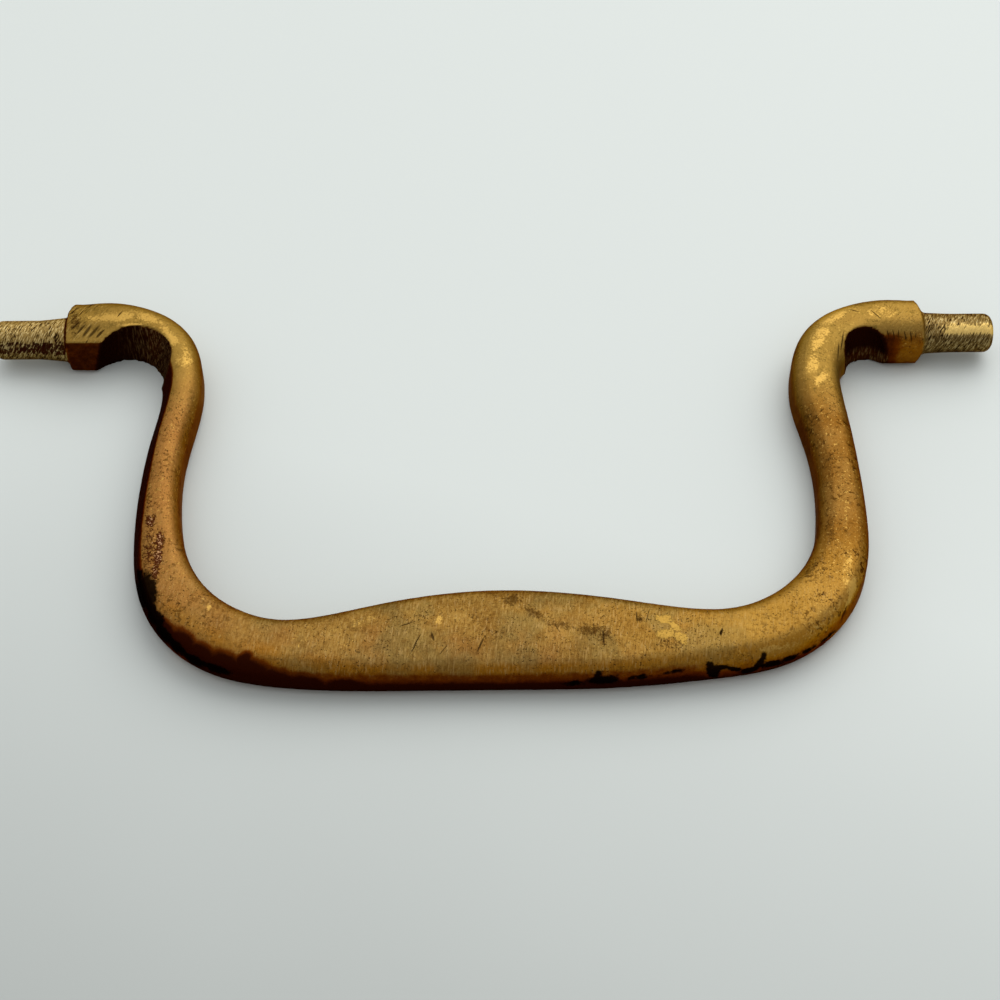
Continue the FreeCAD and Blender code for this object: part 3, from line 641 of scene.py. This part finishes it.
# the bare patina, then its coats from the lowest to the topmost: the finish, and what it shows through
patina = addNode(mat, "ShaderNodeValToRGB", {"Fac": addUp(0.0, (blotch, 0.4), (specks, 0.6))})
setStops(patina, [(0.36, brass["patinaDark"]), (0.49, brass["patina"]), (0.64, brass["patinaLight"])])
coats = [
    # tones of the patina, with painted shade on the flanks, the back rim, the underside and the front
    # rounding, and painted light on top of the grip's right half
    ("redBrown", either(shown["redPatches"], laid["reddened"]), shown["redSpecks"]),
    ("deep", laid["deepenedAndShaded"], shown["deepBlotches"]),
    ("golden", laid["goldenShadedFront"]),
    ("litPale", laid["litRightTop"]),
    ("olive", shown["olivePatches"], laid["brushedGrip"]),
    # flakes of darker patina, and bright points between them, painted glints
    ("freckle", shown["flakes"], shown["flakePatches"], laid["freckled"]),
    ("brightRubAndHighlight", shown["brightPoints"], laid["freckled"], 0.7),
    # fine brush lines across the grip, and dark pits
    ("patinaDark", laid["brushedGrip"], shown["brushDark"]),
    ("pale", laid["brushedGrip"], shown["brushPale"]),
    ("pit", pitted, 0.8),
    # file cuts that slant round the pins and collars
    ("pinBare", laid["filedPin"], 0.7),
    ("pinCutPale", laid["filedPin"], shown["pinCutsPale"]),
    # dull patina, and painted shade on the pins' lower front and inside the right arm
    ("dullPatinaAndShade", laid["dullPatinaAndShade"], shown["dullCuts"]),
    ("pinCutDark", laid["filedPin"], shown["pinCutsDark"], pinPatches),
    ("yellower", laid["yellower"], 0.5),
    ("collarCutDark", laid["filedCollar"], shown["collarCutsDark"], shown["cutPatches"], 0.9),
    ("collarCutPale", laid["filedCollar"], shown["collarCutsPale"]),
    # bright where it was rubbed, painted highlights, and gilt
    ("brightRubAndHighlight", brightRubAndHighlight, 0.75),
    ("pinStreak", pinStreak, 0.85),
    ("gilt", gilt),
    # tarnish, red pits with painted glints, grime with painted shade, the notches' walls in painted shade,
    # and stains
    ("tarnish", tarnish, 0.75),
    ("redPit", redPits, 0.9),
    ("redPitGlint", redPitGlints, 0.7),
    ("redGrimeAndShade", thinGrimeAndShade, 0.92),
    ("grimeAndShade", either(thickGrimeAndShade, blackTeeth), 0.95),
    # notch walls in painted shade, and stripes with a painted pale reflection low on the right notch
    ("notchWallShade", laid["filedNotch"], 0.5),
    ("stripeAndReflectionTone", laid["stripesAndReflectionInNotch"], shown["notchCutsPale"]),
    ("stain", stain, 0.96),
    ("scratch", scratched, 0.8),
]
color = patina.outputs["Color"]
for finish, *through in coats:
    # a mix node's colours are its sockets 6 and 7, as their names are shared with other sockets
    color = addNode(mat, "ShaderNodeMix", {
        0: overlap(*through), 6: color, 7: linear(brass[finish]),
    }, data_type="RGBA").outputs[2]

# sheen: rubbed and highlit places are smoother, light specks, dirt and painted shade duller
dirtAndShade = either(stain, thickGrimeAndShade)
roughness = addUp(
    brass["roughness"] - brass["speckRoughness"] / 2,
    (specks, brass["speckRoughness"]), (brightRubAndHighlight, -0.08), (dirtAndShade, 0.15))

# relief: how far each pattern stands out in mm, or sinks where that is negative
height = addUp(
    0.0, (brushed, 0.010), (specks, 0.012), (pitted, -0.02), (redPits, -0.03), (scratched, -0.03),
    (overlap(laid["filedPin"], pinCuts), -0.09), (overlap(laid["filedCollar"], collarCuts), -0.06),
    (overlap(laid["filedNotch"], notchCuts), -0.10), (gilt, 0.012))
relief = addNode(mat, "ShaderNodeBump", {"Strength": 1.0, "Distance": mm, "Height": height})

# grazing metal turns paler, and dirt and painted shade stay dull
grazingTint = addNode(mat, "ShaderNodeMix", {
    0: dirtAndShade, 6: linear(brass["grazing"]), 7: linear(brass["grazingDirtAndShade"]),
}, data_type="RGBA").outputs[2]
surface = addNode(mat, "ShaderNodeBsdfPrincipled", {
    "Base Color": color, "Metallic": 1.0, "Roughness": roughness, "Normal": relief.outputs["Normal"],
    "Specular Tint": grazingTint,
})
addNode(mat, "ShaderNodeOutputMaterial", {"Surface": surface.outputs["BSDF"]})

casting.data.materials.clear()
casting.data.materials.append(mat)
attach(casting, "root")
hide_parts("bail")
print("brass done")

# table, light and surroundings
studio = {
    "boardPale": "#E0E7E5",
    "boardShade": "#9DA2A0",        # towards the left front, where the photograph falls off
    "boardSlope": (2.6, 7.4, 0),    # how fast the board gets paler, per metre
    "cloudSize": 45,                # mm, slow unevenness of its tone
    "panelPower": 2.25,             # watts
    "panelColor": "#FFFEFA",
    "panelPlace": (0.25, 0.42, 0.55),
    "panelSize": 0.8,
    "skyStrength": 0.84,
    "skyLift": (0.03, 0.32, 0.18),  # the way in which the room gets paler
    "skyFront": "#AAA8A6",
    "skyMiddle": "#CBCAC8",
    "skyBack": "#FFFFFF",
}

tableMesh = bpy.data.meshes.new("table")
bm = bmesh.new()
bmesh.ops.create_grid(bm, x_segments=8, y_segments=8, size=2.0)
bm.to_mesh(tableMesh)
bm.free()
table = bpy.data.objects.new("table", tableMesh)
bpy.context.scene.collection.objects.link(table)

# painted board, satin, a little darker to the left front, painted shade of the light falling off there
board = newMaterial("satinPaintedBoard")
boardCoords = addNode(board, "ShaderNodeTexCoord").outputs["Object"]
slope = addNode(board, "ShaderNodeVectorMath", {
    0: boardCoords, 1: studio["boardSlope"],
}, operation="DOT_PRODUCT").outputs["Value"]
cloud = addNode(board, "ShaderNodeTexNoise", {
    "Vector": boardCoords, "Scale": perSize(studio["cloudSize"]), "Detail": 2.0,
}).outputs["Fac"]
shade = addNode(board, "ShaderNodeMath", {0: cloud, 1: 0.1, 2: slope}, operation="MULTIPLY_ADD").outputs[0]
lifted = addNode(board, "ShaderNodeMath", {0: shade, 1: 0.8}, operation="ADD").outputs[0]
tone = addNode(board, "ShaderNodeValToRGB", {"Fac": lifted})
setStops(tone, [(0.0, studio["boardShade"]), (0.85, studio["boardPale"])])
paint = addNode(board, "ShaderNodeBsdfPrincipled", {"Base Color": tone.outputs["Color"], "Roughness": 0.55})
addNode(board, "ShaderNodeOutputMaterial", {"Surface": paint.outputs["BSDF"]})
tableMesh.materials.append(board)

panelData = bpy.data.lights.new("softPanel", "AREA")
panelData.energy = studio["panelPower"]
panelData.shape = "DISK"
panelData.size = studio["panelSize"]
panelData.color = linear(studio["panelColor"])[:3]
panel = bpy.data.objects.new("softPanel", panelData)
panel.location = studio["panelPlace"]
panel.rotation_euler = (-Vector(studio["panelPlace"])).to_track_quat("-Z", "Y").to_euler()
bpy.context.scene.collection.objects.link(panel)

# soft room: pale above and behind, darker low in front, where the viewer stands
room = bpy.data.worlds.new("softRoom")
bpy.context.scene.world = room
room.use_nodes = True
room.node_tree.nodes.clear()
way = addNode(room, "ShaderNodeTexCoord").outputs["Generated"]
lift = addNode(room, "ShaderNodeVectorMath", {
    0: way, 1: studio["skyLift"],
}, operation="DOT_PRODUCT").outputs["Value"]
raised = addNode(room, "ShaderNodeMath", {0: lift, 1: 0.5}, operation="ADD").outputs[0]
glow = addNode(room, "ShaderNodeValToRGB", {"Fac": raised})
setStops(glow, [(0.17, studio["skyFront"]), (0.44, studio["skyMiddle"]), (0.72, studio["skyBack"])])
sky = addNode(room, "ShaderNodeBackground", {
    "Color": glow.outputs["Color"], "Strength": studio["skyStrength"],
})
addNode(room, "ShaderNodeOutputWorld", {"Surface": sky.outputs[0]})
bpy.context.scene.view_settings.view_transform = "Standard"
print("studio set")
